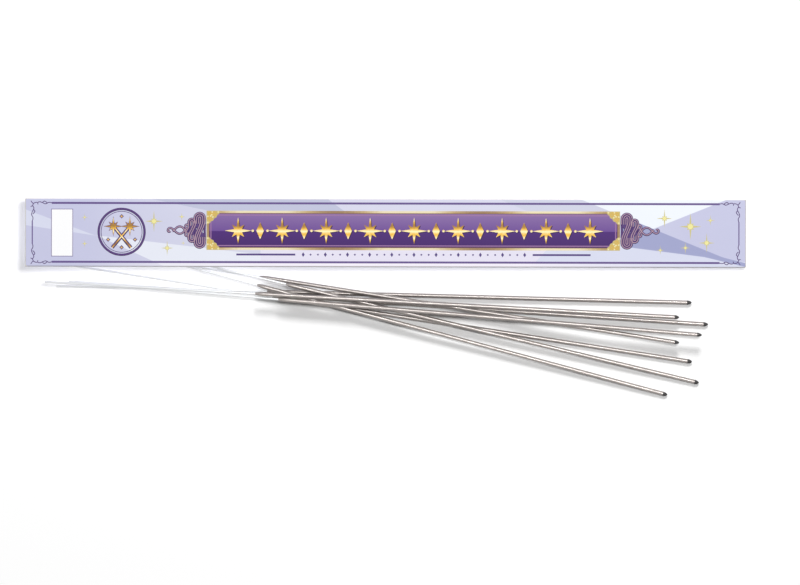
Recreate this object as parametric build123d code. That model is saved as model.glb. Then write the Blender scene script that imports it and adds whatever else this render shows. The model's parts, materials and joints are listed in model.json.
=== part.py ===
from build123d import *
import itertools
import math
import os

# A set of sparklers with its carton. The carton is a folded paperboard sleeve with a tuck closure at
# each end. It lies face up, its left end propped on the handles of some of the eight sparklers that
# are fanned out in front of it. All sizes are in millimetres and all angles in degrees.

# Sparkler: a steel wire, its burning coating, and the starter tip
SPARKLER_LENGTH = 508.0
WIRE_DIAMETER = 1.8
COATING_DIAMETER = 3.4
COATING_LENGTH = 336.0
COATING_TAPER = 7.0
COATING_EDGE = 0.2
TIP_LENGTH = 3.8
TIP_NOSE_DIAMETER = 1.7
TIP_NOSE_ROUND = 0.6
WIRE_IN_TIP = 1.6
WIRE_END_ROUND = 0.3
STEEL_DENSITY = 7.85
COATING_DENSITY = 2.2

# Carton: a sleeve of four panels
CARTON_LENGTH = 576.0
CARTON_WIDTH = 54.5
CARTON_DEPTH = 14.0
BOARD = 0.45
CREASE_RADIUS = 0.9
GLUE_LAP = 10.0
GLUE_LAP_SETBACK = 16.0
GLUE_LAP_SLANT = 6.0

# Tuck flap: hinged on the front panel, its tongue tucked inside the back panel
FLAP_SIDE_GAP = 0.4
TONGUE_LENGTH = 10.0
TONGUE_SIDE_GAP = 0.9
TONGUE_CORNER = 7.0
TONGUE_FOLD = 0.5
TUCK_GAP = 0.3

# Dust flaps: hinged on the side panels, just inside the tuck flap
DUST_LENGTH = 15.0
DUST_TOP_TAPER = 16.0
DUST_BOTTOM_TAPER = 10.0
DUST_CORNER = 1.5
DUST_GAP = 0.3
FLAP_GAP = 0.15
HINGE_GAP = 0.08

# How the pieces lie on each other
LAY_GAP = 0.2
STATION = 2.0
# The fan, in the order that the sparklers were laid down. Each has its number, counted from the carton
# at the tips, then how far its tip is to the right of the carton's middle and in front of the
# carton's near edge, and how far it turns away from that edge.
FAN = (
    (6, 245.6, 75.1, 8.72),
    (1, 245.2, 27.7, 1.40),
    (3, 258.4, 45.2, 3.75),
    (5, 235.2, 59.9, 8.83),
    (8, 226.0, 101.6, 14.87),
    (7, 251.2, 91.9, 13.32),
    (4, 253.2, 53.7, 4.72),
    (2, 235.2, 39.6, 3.10),
)

# Places along a sparkler, from the cut end of its handle
WIRE_RADIUS = WIRE_DIAMETER / 2
COATING_RADIUS = COATING_DIAMETER / 2
TIP_START = SPARKLER_LENGTH - TIP_LENGTH
COATING_START = TIP_START - COATING_LENGTH
WIRE_LENGTH = TIP_START + WIRE_IN_TIP

# Places on the carton, in its own frame: X along it from its middle, Y from its near side to its far
# side, Z from its back to its front
HALF_BOARD = BOARD / 2
END = CARTON_LENGTH / 2
TUCK_AXIS_X = END - HALF_BOARD
TUCK_AXIS_Z = CARTON_DEPTH - HALF_BOARD
DUST_AXIS_X = END - BOARD - FLAP_GAP - HALF_BOARD
FRONT_PANEL_END = TUCK_AXIS_X - HALF_BOARD - HINGE_GAP
SIDE_PANEL_END = DUST_AXIS_X - HALF_BOARD - HINGE_GAP
TONGUE_Z = BOARD + TUCK_GAP + HALF_BOARD
FLAP_DROP = TUCK_AXIS_Z - TONGUE_Z
# The tongue is bent in so far that its end swings out on the same circle as its fold
TONGUE_BITE = math.degrees(math.asin(TONGUE_LENGTH / (2 * FLAP_DROP)))
# A dust flap stays above everything that the tongue sweeps as it comes out
TONGUE_SWEEP_TOP = TUCK_AXIS_Z - math.sqrt(FLAP_DROP**2 - TONGUE_LENGTH**2 / 4) + HALF_BOARD
DUST_BOTTOM = TONGUE_SWEEP_TOP + DUST_GAP
DUST_TOP = CARTON_DEPTH - BOARD - DUST_GAP


def sparkler_wire():
    wire = Plane.YZ * Circle(WIRE_RADIUS)
    wire = extrude(wire, WIRE_LENGTH)
    return fillet(wire.edges().filter_by(GeomType.CIRCLE), WIRE_END_ROUND)


def sparkler_coating():
    edge = (COATING_START, WIRE_RADIUS + COATING_EDGE)
    shoulder = (COATING_START + COATING_TAPER, COATING_RADIUS)
    # The dip line swells up to the full coating and runs into it smoothly
    swell = TangentArc(shoulder, edge, tangent=(-1, 0))
    outline = swell + Polyline(
        edge,
        (COATING_START, WIRE_RADIUS),
        (TIP_START, WIRE_RADIUS),
        (TIP_START, COATING_RADIUS),
        shoulder,
    )
    return revolve(make_face(outline), Axis.X)


def starter_tip():
    shoulder = (TIP_START, COATING_RADIUS)
    nose = (SPARKLER_LENGTH, TIP_NOSE_DIAMETER / 2)
    bullet = TangentArc(shoulder, nose, tangent=(1, 0))
    # The wire's end sits in a blind hole in the tip
    outline = bullet + Polyline(
        nose,
        (SPARKLER_LENGTH, 0),
        (WIRE_LENGTH, 0),
        (WIRE_LENGTH, WIRE_RADIUS),
        (TIP_START, WIRE_RADIUS),
        shoulder,
    )
    tip = revolve(make_face(outline), Axis.X)
    nose_edge = tip.edges().filter_by(GeomType.CIRCLE).sort_by(Axis.X)[-1]
    return fillet(nose_edge, TIP_NOSE_ROUND)


def carton_sleeve():
    middle = (CARTON_WIDTH / 2, CARTON_DEPTH / 2)
    outer = RectangleRounded(CARTON_WIDTH, CARTON_DEPTH, CREASE_RADIUS)
    inner = RectangleRounded(CARTON_WIDTH - 2 * BOARD, CARTON_DEPTH - 2 * BOARD, CREASE_RADIUS - BOARD)
    sleeve = extrude(Plane.YZ * Pos(*middle) * (outer - inner), END, both=True)
    sleeve += glue_lap()
    over_back = CARTON_DEPTH - CREASE_RADIUS
    for side in (1, -1):
        # The front and side panels stop short of the back panel to make room for the flaps' creases
        front_cut = Box(END - FRONT_PANEL_END, CARTON_WIDTH, over_back, align=(Align.MIN, Align.MIN, Align.MAX))
        side_cut = Box(END - SIDE_PANEL_END, CREASE_RADIUS, over_back, align=(Align.MIN, Align.MIN, Align.MAX))
        cuts = [Pos(FRONT_PANEL_END, 0, CARTON_DEPTH) * front_cut]
        for y in (0, CARTON_WIDTH - CREASE_RADIUS):
            cuts.append(Pos(SIDE_PANEL_END, y, CARTON_DEPTH) * side_cut)
        for cut in cuts:
            sleeve -= cut if side > 0 else at_left_end(cut)
    return sleeve


def glue_lap():
    # The blank's glued edge, inside the far side panel
    long_half = END - GLUE_LAP_SETBACK
    short_half = long_half - GLUE_LAP_SLANT
    outline = Polyline(
        (-long_half, 0),
        (long_half, 0),
        (short_half, GLUE_LAP),
        (-short_half, GLUE_LAP),
        close=True,
    )
    lap_plane = Plane((0, CARTON_WIDTH - BOARD, BOARD), x_dir=(1, 0, 0), z_dir=(0, -1, 0))
    return extrude(lap_plane * make_face(outline), BOARD)


def tuck_flap():
    # Seen from the side: down from the crease, round the fold and in along the tongue
    bite = math.radians(TONGUE_BITE)
    tongue_end = (
        TUCK_AXIS_X - TONGUE_LENGTH * math.cos(bite),
        TONGUE_Z + TONGUE_LENGTH * math.sin(bite),
    )
    crease = (TUCK_AXIS_X, TUCK_AXIS_Z)
    fold = (TUCK_AXIS_X, TONGUE_Z)
    line = FilletPolyline(crease, fold, tongue_end, radius=TONGUE_FOLD)
    profile = trace(line, line_width=BOARD) + Pos(*crease) * Circle(HALF_BOARD)
    flap_width = CARTON_WIDTH - 2 * FLAP_SIDE_GAP
    near_edge = Plane((0, FLAP_SIDE_GAP, 0), x_dir=(1, 0, 0), z_dir=(0, -1, 0))
    flap = extrude(near_edge * profile, -flap_width)
    # Seen from above: the tongue is narrower than the flap, with round corners
    tongue_width = CARTON_WIDTH - 2 * (BOARD + TONGUE_SIDE_GAP)
    tongue_reach = END - tongue_end[0] + BOARD
    tongue = Rectangle(2 * tongue_reach, tongue_width)
    tongue = fillet(tongue.vertices(), TONGUE_CORNER)
    plate = Rectangle(2 * (BOARD + TONGUE_FOLD), flap_width)
    outline = Pos(END, CARTON_WIDTH / 2) * (tongue + plate)
    return flap & extrude(outline, CARTON_DEPTH)


def dust_flap():
    # On the near side: a bead on the crease and a plate that narrows towards its free end
    hinge_y = HALF_BOARD
    free_y = hinge_y + DUST_LENGTH
    free_top = DUST_TOP - DUST_LENGTH * math.tan(math.radians(DUST_TOP_TAPER))
    free_bottom = DUST_BOTTOM + DUST_LENGTH * math.tan(math.radians(DUST_BOTTOM_TAPER))
    outline = Polyline(
        (hinge_y, DUST_BOTTOM),
        (free_y, free_bottom),
        (free_y, free_top),
        (hinge_y, DUST_TOP),
        close=True,
    )
    plate = make_face(outline)
    plate = fillet(plate.vertices().sort_by(Axis.X)[-2:], DUST_CORNER)
    plate = Pos(DUST_AXIS_X - HALF_BOARD, 0, 0) * extrude(Plane.YZ * plate, BOARD)
    bead = Pos(DUST_AXIS_X, hinge_y, DUST_BOTTOM) * extrude(Circle(HALF_BOARD), DUST_TOP - DUST_BOTTOM)
    return plate + bead


def at_left_end(shape):
    # The left end is the right end turned half round about the carton's middle
    return Pos(0, CARTON_WIDTH, 0) * Rot(0, 0, 180) * shape


def on_far_side(shape):
    return mirror(shape, about=Plane((0, CARTON_WIDTH / 2, 0), x_dir=(1, 0, 0), z_dir=(0, 1, 0)))


def balance_point():
    # Where a sparkler's weight acts, from the end of its handle
    wire = STEEL_DENSITY * WIRE_DIAMETER**2 * WIRE_LENGTH
    coating = COATING_DENSITY * (COATING_DIAMETER**2 - WIRE_DIAMETER**2) * COATING_LENGTH
    moment = wire * WIRE_LENGTH / 2 + coating * (TIP_START - COATING_LENGTH / 2)
    return moment / (wire + coating)


class Lying:
    """A sparkler's straight centre line: where it lies on the table, and how high."""

    def __init__(self, tip_right, tip_in_front, turn):
        self.heading = Vector(1, 0, 0).rotate(Axis.Z, -turn)
        self.start = Vector(tip_right, -tip_in_front, 0) - self.heading * SPARKLER_LENGTH
        self.height = 0.0
        self.slope = 0.0

    def radius(self, along):
        return COATING_RADIUS if along >= COATING_START else WIRE_RADIUS

    def point(self, along):
        return self.start + self.heading * along + Vector(0, 0, self.height + self.slope * along)

    def nearest(self, spot):
        along = (spot - self.start).dot(self.heading)
        return min(max(along, 0.0), SPARKLER_LENGTH)

    def lay_on(self, others):
        # The height that holds the sparkler up at each place along it: the table's, or another sparkler's
        supports = {0.0: WIRE_RADIUS, COATING_START: COATING_RADIUS, TIP_START: COATING_RADIUS}
        count = math.ceil(SPARKLER_LENGTH / STATION)
        stations = [SPARKLER_LENGTH * i / count for i in range(count + 1)] + [COATING_START]
        for along, other in itertools.product(stations, others):
            spot = self.start + self.heading * along
            beside = other.nearest(spot)
            below = other.point(beside)
            apart = math.hypot(spot.X - below.X, spot.Y - below.Y)
            reach = self.radius(along) + other.radius(beside) + LAY_GAP
            if apart < reach:
                held = below.Z + math.sqrt(reach**2 - apart**2)
                supports[along] = max(held, supports.get(along, 0.0))
        # It rests on the pair of places, one each side of its balance point, that hold it highest there
        balance = balance_point()
        behind = [s for s in supports.items() if s[0] < balance]
        ahead = [s for s in supports.items() if s[0] >= balance]
        highest = 0.0
        for a, b in itertools.product(behind, ahead):
            slope = (b[1] - a[1]) / (b[0] - a[0])
            held = a[1] + slope * (balance - a[0])
            if held > highest:
                highest = held
                self.height = a[1] - slope * a[0]
                self.slope = slope

    def frame(self):
        axis = (self.heading + Vector(0, 0, self.slope)).normalized()
        up = Vector(0, 0, 1) - axis * axis.Z
        return Plane(self.point(0), x_dir=axis, z_dir=up.normalized())


def lay_fan():
    laid = {}
    for number, right, front, turn in FAN:
        sparkler = Lying(right, front, turn)
        sparkler.lay_on(list(laid.values()))
        laid[number] = sparkler
    return laid


def lay_carton(laid):
    # The table holds the carton at its corners, and the handles hold it where they run under it
    supports = [Vector(x, y, 0) for x in (-END, END) for y in (0, CARTON_WIDTH)]
    lift = Vector(0, 0, WIRE_RADIUS + LAY_GAP)
    for sparkler in laid.values():
        if sparkler.start.Y > 0:
            to_edge = -sparkler.start.Y / sparkler.heading.Y
            supports.append(sparkler.point(0) + lift)
            supports.append(sparkler.point(to_edge) + lift)
    middle = Vector(0, CARTON_WIDTH / 2, 0)
    highest = -1.0
    for a, b, c in itertools.combinations(supports, 3):
        normal = (b - a).cross(c - a)
        if abs(normal.Z) < 1:
            continue
        normal = normal * (1 if normal.Z > 0 else -1)
        held = a.Z - ((middle.X - a.X) * normal.X + (middle.Y - a.Y) * normal.Y) / normal.Z
        if held > highest and spans(middle, a, b, c):
            highest = held
            along = Vector(1, 0, -normal.X / normal.Z)
            near_edge = held + normal.Y / normal.Z * middle.Y
            frame = Plane((0, 0, near_edge), x_dir=along.normalized(), z_dir=normal.normalized())
    return frame


def spans(spot, a, b, c):
    # Is the spot inside the triangle, seen from above?
    turns = []
    for p, q in ((a, b), (b, c), (c, a)):
        turns.append((q.X - p.X) * (spot.Y - p.Y) - (q.Y - p.Y) * (spot.X - p.X))
    return min(turns) >= 0 or max(turns) <= 0


def build_set():
    laid = lay_fan()
    carton = lay_carton(laid)
    near_dust = dust_flap()
    far_dust = on_far_side(near_dust)
    flap = tuck_flap()
    carton_pieces = {
        "carton_sleeve": carton_sleeve(),
        "right_tuck_flap": flap,
        "right_near_dust_flap": near_dust,
        "right_far_dust_flap": far_dust,
        "left_tuck_flap": at_left_end(flap),
        "left_near_dust_flap": at_left_end(far_dust),
        "left_far_dust_flap": at_left_end(near_dust),
    }
    pieces = {name: carton.location * piece for name, piece in carton_pieces.items()}
    sparkler_pieces = {"wire": sparkler_wire(), "coating": sparkler_coating(), "tip": starter_tip()}
    for number in sorted(laid):
        place = laid[number].frame().location
        for name, piece in sparkler_pieces.items():
            pieces[f"sparkler_{number}_{name}"] = place * piece
    # The set stands on the table with the middle of its footprint at the origin
    boxes = [piece.bounding_box() for piece in pieces.values()]
    low = Vector(*[min(getattr(box.min, axis) for box in boxes) for axis in "XYZ"])
    high = Vector(*[max(getattr(box.max, axis) for box in boxes) for axis in "XYZ"])
    ground = Vector((low.X + high.X) / 2, (low.Y + high.Y) / 2, low.Z)
    return {name: Pos(-ground) * piece for name, piece in pieces.items()}, laid, carton, ground


pieces, laid, carton, ground = build_set()
os.makedirs("parts", exist_ok=True)
for name, piece in pieces.items():
    export_step(piece, f"parts/{name}.step")
for number, sparkler in laid.items():
    tip_height = sparkler.height + sparkler.slope * SPARKLER_LENGTH
    print(f"sparkler {number}: handle end {sparkler.height:.1f} mm up, tip {tip_height:.1f} mm up")
print(f"carton: near edge {carton.origin.Z:.1f} mm up in its middle, long slope {carton.x_dir.Z:.4f}")
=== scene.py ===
# %% [markdown]
# # A set of sparklers and its carton
# Eight long hand sparklers lie in a loose fan on a white table. Some of their handles run under a flat
# paperboard carton and prop up its left end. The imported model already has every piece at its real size
# and place, so this lesson is about looks: light, board, ink, steel wire and burning mixture. It starts
# by loading that model, and it measures everything else from it.

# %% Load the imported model
import json
import math

import bmesh
import bpy
from mathutils import Matrix, Vector, noise


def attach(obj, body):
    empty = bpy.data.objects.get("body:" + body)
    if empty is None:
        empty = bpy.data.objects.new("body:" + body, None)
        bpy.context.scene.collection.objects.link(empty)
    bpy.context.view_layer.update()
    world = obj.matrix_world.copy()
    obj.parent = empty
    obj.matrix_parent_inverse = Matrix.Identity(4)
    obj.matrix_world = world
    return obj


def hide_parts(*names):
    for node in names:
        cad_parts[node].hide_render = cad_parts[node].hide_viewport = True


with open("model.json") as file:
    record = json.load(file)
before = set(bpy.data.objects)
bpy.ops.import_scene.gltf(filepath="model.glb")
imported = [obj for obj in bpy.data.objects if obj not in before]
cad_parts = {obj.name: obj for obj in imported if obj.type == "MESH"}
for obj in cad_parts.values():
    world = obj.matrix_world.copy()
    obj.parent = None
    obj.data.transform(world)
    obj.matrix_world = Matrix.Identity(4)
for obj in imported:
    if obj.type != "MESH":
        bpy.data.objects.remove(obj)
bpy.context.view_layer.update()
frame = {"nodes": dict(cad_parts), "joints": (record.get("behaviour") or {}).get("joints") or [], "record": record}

MM = 0.001

# %% [markdown]
# ## Where the carton lies
# The carton is tilted, because it rests on the handles. A print on it is easiest to lay out flat, so we
# need a frame of its own: X along the carton, Y across it and Z up from the front panel. The record
# gives the middle of the front panel, the way it faces and the line that the right flap folds on, and
# that is all a frame needs.

# %% The front panel's own frame
mounts = {mount["name"]: mount for mount in frame["record"]["mounts"]}
joints = {joint["name"]: joint for joint in frame["joints"]}


def frame_of(x_axis, y_axis, z_axis, origin):
    """A matrix that takes a point from a piece's own frame to the set's."""
    place = Matrix((x_axis, y_axis, z_axis)).transposed().to_4x4()
    place.translation = origin
    return place


def span(node, place):
    """The lowest and highest corner of a node, in millimetres, in a frame of its own."""
    inside = place.inverted()
    corners = [inside @ vertex.co / MM for vertex in frame["nodes"][node].data.vertices]
    low = Vector([min(corner[axis] for corner in corners) for axis in range(3)])
    high = Vector([max(corner[axis] for corner in corners) for axis in range(3)])
    return low, high


up = Vector(mounts["carton_front"]["axis"])
across = -Vector(joints["right_tuck_flap_fold"]["axis"])
panel = frame_of(across.cross(up), across, up, mounts["carton_front"]["pos_m"])

sleeve_low, sleeve_high = span("carton_sleeve", panel)
dust_low, dust_high = span("right_near_dust_flap", panel)
HALF_LENGTH = sleeve_high.x
HALF_WIDTH = sleeve_high.y
DEPTH = sleeve_high.z - sleeve_low.z
BOARD = dust_high.x - dust_low.x
print(f"carton {2 * HALF_LENGTH:.1f} x {2 * HALF_WIDTH:.1f} x {DEPTH:.1f} mm, board {BOARD:.2f} mm")

# %% [markdown]
# ## The camera
# The photograph looks straight down from far away: the carton's two ends are almost the same height.
# A very long lens, twelve metres up, does that. One known point, the middle of the front panel, and the
# scale of the photograph place it, and a roll of a tenth of a degree levels it.

# %% Camera
PHOTO_WIDTH = 800
PHOTO_HEIGHT = 585
PANEL_PIXEL = (385.7, 233.0)
PIXELS_PER_METRE = 1252.0
CAMERA_DISTANCE = 12.0
CAMERA_ROLL = math.radians(0.11)

right_of_panel = (PHOTO_WIDTH / 2 - PANEL_PIXEL[0]) / PIXELS_PER_METRE
below_panel = (PHOTO_HEIGHT / 2 - PANEL_PIXEL[1]) / PIXELS_PER_METRE
camera_data = bpy.data.cameras.new("camera")
camera_data.lens = camera_data.sensor_width * CAMERA_DISTANCE * PIXELS_PER_METRE / PHOTO_WIDTH
camera = bpy.data.objects.new("camera", camera_data)
camera.location = panel.translation + Vector((right_of_panel, -below_panel, CAMERA_DISTANCE))
camera.rotation_euler.z = CAMERA_ROLL
bpy.context.scene.collection.objects.link(camera)
bpy.context.scene.camera = camera
print(f"lens {camera_data.lens:.0f} mm")

# %% [markdown]
# ## Shaders as sums
# A material here is a tree of nodes. Wiring nodes by hand hides what they work out, so one small class
# wraps a socket and gives it Python's operators: `1 - mask` adds a Math node. A second class holds the
# material, and its `node` method makes any other node.


# %% A socket that can be added and multiplied
class Link:
    """An output socket of a material. A sum with it adds a Math node."""

    def __init__(self, finish, socket):
        self.finish = finish
        self.socket = socket

    def __add__(self, other):
        return self.finish.math("ADD", self, other)

    def __sub__(self, other):
        return self.finish.math("SUBTRACT", self, other)

    def __rsub__(self, other):
        return self.finish.math("SUBTRACT", other, self)

    def __mul__(self, other):
        return self.finish.math("MULTIPLY", self, other)

    def __truediv__(self, other):
        return self.finish.math("DIVIDE", self, other)

    def __gt__(self, other):
        return self.finish.math("GREATER_THAN", self, other)

    def __lt__(self, other):
        return self.finish.math("LESS_THAN", self, other)

    def __abs__(self):
        return self.finish.math("ABSOLUTE", self)

    __radd__ = __add__
    __rmul__ = __mul__


# %% A material under construction
class Finish:
    """A material, or a world, and the means to add nodes to it."""

    def __init__(self, name, owners=bpy.data.materials, shader="Principled BSDF"):
        self.material = owners.new(name)
        self.material.use_nodes = True
        self.tree = self.material.node_tree
        self.shader = self.tree.nodes[shader]

    def node(self, kind, settings=None, sockets=None, output=0):
        node = self.tree.nodes.new("ShaderNode" + kind)
        for name, value in (settings or {}).items():
            if name == "stops":
                self.set_stops(node.color_ramp, value)
            else:
                setattr(node, name, value)
        for name, value in (sockets or {}).items():
            self.feed(node.inputs[name], value)
        if isinstance(output, tuple):
            return [Link(self, node.outputs[name]) for name in output]
        return Link(self, node.outputs[output])

    def set_stops(self, ramp, stops):
        while len(ramp.elements) < len(stops):
            ramp.elements.new(1.0)
        for element, (place, colour) in zip(ramp.elements, stops):
            element.position = place
            element.color = colour

    def feed(self, socket, value):
        if isinstance(value, Link):
            self.tree.links.new(value.socket, socket)
        else:
            socket.default_value = value

    def surface(self, sockets):
        for name, value in sockets.items():
            self.feed(self.shader.inputs[name], value)

    def math(self, operation, *values, clamp=False):
        return self.node("Math", {"operation": operation, "use_clamp": clamp}, dict(enumerate(values)))

    def clamp(self, value):
        return self.math("ADD", value, 0.0, clamp=True)

    def mix(self, mask, low, high):
        return self.node("Mix", {"data_type": "RGBA"}, {0: mask, 6: low, 7: high}, output=2)

    def noise(self, place, scale, detail=2.0, roughness=0.5):
        values = {"Vector": place, "Scale": scale, "Detail": detail, "Roughness": roughness}
        return self.node("TexNoise", {}, values)

    def bump(self, height, distance, strength=1.0):
        return self.node("Bump", {}, {"Height": height, "Distance": distance, "Strength": strength})


def ink(red, green, blue):
    """A printed colour, written as on a screen, made linear for the shader."""
    values = [value / 255 for value in (red, green, blue)]
    linear = [v / 12.92 if v <= 0.04045 else ((v + 0.055) / 1.055) ** 2.4 for v in values]
    return (*linear, 1.0)


# %% Places on the carton, as shader values
def panel_place(finish):
    """The place on the carton in millimetres: the vector, and its three parts."""
    inside = panel.inverted()
    spot = finish.node("TexCoord", output="Object")
    settings = {"vector_type": "POINT"}
    values = {
        "Vector": spot,
        "Location": inside.translation / MM,
        "Rotation": inside.to_euler(),
        "Scale": (1 / MM, 1 / MM, 1 / MM),
    }
    place = finish.node("Mapping", settings, values)
    return place, *finish.node("SeparateXYZ", {}, {"Vector": place}, output=("X", "Y", "Z"))


def facing(finish, direction):
    """How squarely a surface faces a direction of the carton."""
    normal = finish.node("TexCoord", output="Normal")
    values = {0: normal, 1: direction}
    return finish.node("VectorMath", {"operation": "DOT_PRODUCT"}, values, output="Value")


print("shader tools are ready")

# %% [markdown]
# ## Table and light
# A product picture like this one is lit by one large soft lamp over a white table, with light from all
# sides to keep the shadows thin. The lamp hangs high, a little to the upper right, so the carton's short
# shadow falls to the lower left. The fan was lit apart from the carton: a wide soft shadow lies beside
# each coated rod. A second lamp, low on the far side, makes those, and Blender's light linking lets the
# carton and the thin handles stay out of its way. The shares of the lamps and the surroundings add up to
# about one, so a colour shows as it is written. To the camera, and in shiny metal, the surroundings are
# plain white, and the table is a little whiter than the light that it gives back.

# %% White table
TABLE_SIZE = 8.0
TABLE_COLOUR = (0.99, 0.99, 0.99, 1.0)
TABLE_SEEN = (1.07, 1.07, 1.07, 1.0)


def is_seen(finish):
    """1 for what the camera sees, also in metal or through glass."""
    rays = ("Is Camera Ray", "Is Glossy Ray", "Is Transmission Ray")
    seen, mirrored, through = finish.node("LightPath", output=rays)
    return finish.clamp(seen + mirrored + through)


table_shape = bmesh.new()
bmesh.ops.create_grid(table_shape, x_segments=1, y_segments=1, size=TABLE_SIZE / 2)
table_mesh = bpy.data.meshes.new("table")
table_shape.to_mesh(table_mesh)
table_shape.free()
table = bpy.data.objects.new("table", table_mesh)
bpy.context.scene.collection.objects.link(table)

table_finish = Finish("white_table")
table_white = table_finish.mix(is_seen(table_finish), TABLE_COLOUR, TABLE_SEEN)
table_finish.surface({"Base Color": table_white, "Roughness": 0.9, "Specular IOR Level": 0.0})
table_mesh.materials.append(table_finish.material)

# %% Lamps
HIGH_PLACE = Vector((0.75, 0.75, 5.0))
HIGH_SIZE = 1.0
HIGH_SHARE = 0.45
LOW_PLACE = Vector((0.3, 3.7, 3.3))
LOW_SIZE = 1.4
LOW_SHARE = 0.48


def add_lamp(name, place, size, share):
    """A round lamp that faces the set. Under it alone, a white table shows that share of full white."""
    data = bpy.data.lights.new(name, "AREA")
    data.shape = "DISK"
    data.size = size
    data.energy = share * math.pi**2 * place.length**3 / place.z
    lamp = bpy.data.objects.new(name, data)
    lamp.location = place
    lamp.rotation_euler = (-place).to_track_quat("-Z", "Y").to_euler()
    bpy.context.scene.collection.objects.link(lamp)
    print(f"{name}: {data.energy:.0f} W at {place.length:.2f} m")
    return lamp


add_lamp("high_lamp", HIGH_PLACE, HIGH_SIZE, HIGH_SHARE)
low_lamp = add_lamp("low_lamp", LOW_PLACE, LOW_SIZE, LOW_SHARE)
# The low lamp is there for the shadows, so metal and varnish don't mirror it
low_lamp.visible_glossy = False

# %% Surroundings
SURROUND_SHARE = 0.08

surroundings = Finish("surroundings", bpy.data.worlds, "Background")
strength = SURROUND_SHARE + is_seen(surroundings) * (1 - SURROUND_SHARE)
surroundings.surface({"Color": (1.0, 1.0, 1.0, 1.0), "Strength": strength})
bpy.context.scene.world = surroundings.material
bpy.context.scene.view_settings.view_transform = "Standard"
print(f"all shares together: {HIGH_SHARE + LOW_SHARE + SURROUND_SHARE:.2f}")

# %% [markdown]
# ## Paperboard
# The carton is folded from one sheet of paperboard. Its outside is printed and has a satin varnish; its
# inside and its cut edges are bare fibre. All panels share one sheet, so one shader can tell the sides
# apart by place: what lies further in than the board is thick is inside.

# %% Bare board
BARE_LIGHT = ink(229, 226, 219)
BARE_DARK = ink(207, 202, 192)


def fibres(finish, place):
    """The colour of bare board: short fibres and a few darker flecks."""
    fibre = finish.noise(place, 1.6, 5.0, 0.65)
    fleck = finish.noise(place, 0.55, 2.0)
    mask = finish.clamp(fibre * 1.8 - 0.5 + (fleck - 0.5) * 0.7)
    return finish.mix(mask, BARE_DARK, BARE_LIGHT)


def bare_board():
    finish = Finish("bare_board")
    place, *_ = panel_place(finish)
    relief = finish.noise(place, 3.0, 4.0, 0.7)
    finish.surface(
        {
            "Base Color": fibres(finish, place),
            "Roughness": 0.78 + relief * 0.12,
            "Normal": finish.bump(relief, 0.00006),
        }
    )
    return finish.material


# %% [markdown]
# The print on the outside is a field of lavender with large, faint rays of light, cut by straight
# edges. A ray is the part of the panel that lies to the left of each of two or three lines, and a
# line's left side is one sum in the shader.

# %% The field of rays
LAVENDER = ink(197, 198, 225)
LAVENDER_PALE = ink(211, 212, 231)
PALE = ink(214, 217, 236)
HAZE = ink(191, 194, 217)
MIST = ink(214, 214, 233)
ICE = ink(206, 208, 226)
LILAC_WHITE = ink(229, 232, 243)
BLUSH_WHITE = ink(228, 224, 240)
SNOW = ink(238, 243, 249)
ROSE_SNOW = ink(241, 236, 247)
DUSK = ink(159, 163, 201)
RAY_EDGE = 0.5
FIELD_FADE = (140.0, 240.0)
FOOT_Y = -24.3
FOOT_FADE = (110.0, 250.0)

FALLING_EDGE = ((171.0, 21.0), (233.0, -4.2))
RISING_EDGE = ((215.6, 4.4), (257.3, 21.0))
LOW_EDGE = ((196.0, -11.3), (254.6, -18.7))
SLIVER_EDGE = ((255.0, -15.4), (286.5, -23.3))
SLIVER_LOW_EDGE = ((254.6, -18.7), (286.5, -26.4))
LEFT_EDGE = ((-232.7, -2.2), (-287.5, 18.2))
LEFT_LOW_EDGE = ((-287.5, 5.7), (-232.7, -2.4))
SWEEP_EDGE = ((-147.0, -12.0), (-231.0, -2.4))
CORNER_EDGE = ((-231.0, -2.4), (-190.0, -21.0))
TOP_EDGE = ((-176.0, 24.5), (-144.0, 18.0))
FIRST_SLANT_EDGE = ((-46.0, 26.8), (-34.0, 18.0))
SLANT_EDGE = ((92.0, 26.8), (112.0, 18.0))
BOTTOM_SLANT_EDGE = ((116.0, -27.2), (128.0, -14.0))
BAND_EDGE = ((-40.0, 10.0), (40.0, 10.0))
UNDER_EDGE = ((40.0, -13.5), (-40.0, -13.5))


def turned(edge):
    """The same line, the other way round."""
    return edge[::-1]


def left_of(x):
    return ((x, -HALF_WIDTH), (x, HALF_WIDTH))


def right_of(x):
    return turned(left_of(x))


RAYS = (
    (PALE, (LEFT_EDGE, LEFT_LOW_EDGE)),
    (LILAC_WHITE, (SWEEP_EDGE, CORNER_EDGE)),
    (BLUSH_WHITE, (UNDER_EDGE, right_of(-100.0), BOTTOM_SLANT_EDGE)),
    (HAZE, (TOP_EDGE, turned(FIRST_SLANT_EDGE), BAND_EDGE)),
    (MIST, (FIRST_SLANT_EDGE, turned(SLANT_EDGE), BAND_EDGE)),
    (ICE, (SLANT_EDGE, turned(FALLING_EDGE), BAND_EDGE)),
    (SNOW, (FALLING_EDGE, RISING_EDGE)),
    (PALE, (turned(LOW_EDGE), turned(BOTTOM_SLANT_EDGE))),
    (DUSK, (turned(FALLING_EDGE), LOW_EDGE, right_of(189.0))),
    (DUSK, (turned(SLIVER_EDGE), SLIVER_LOW_EDGE, right_of(255.0))),
)


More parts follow.
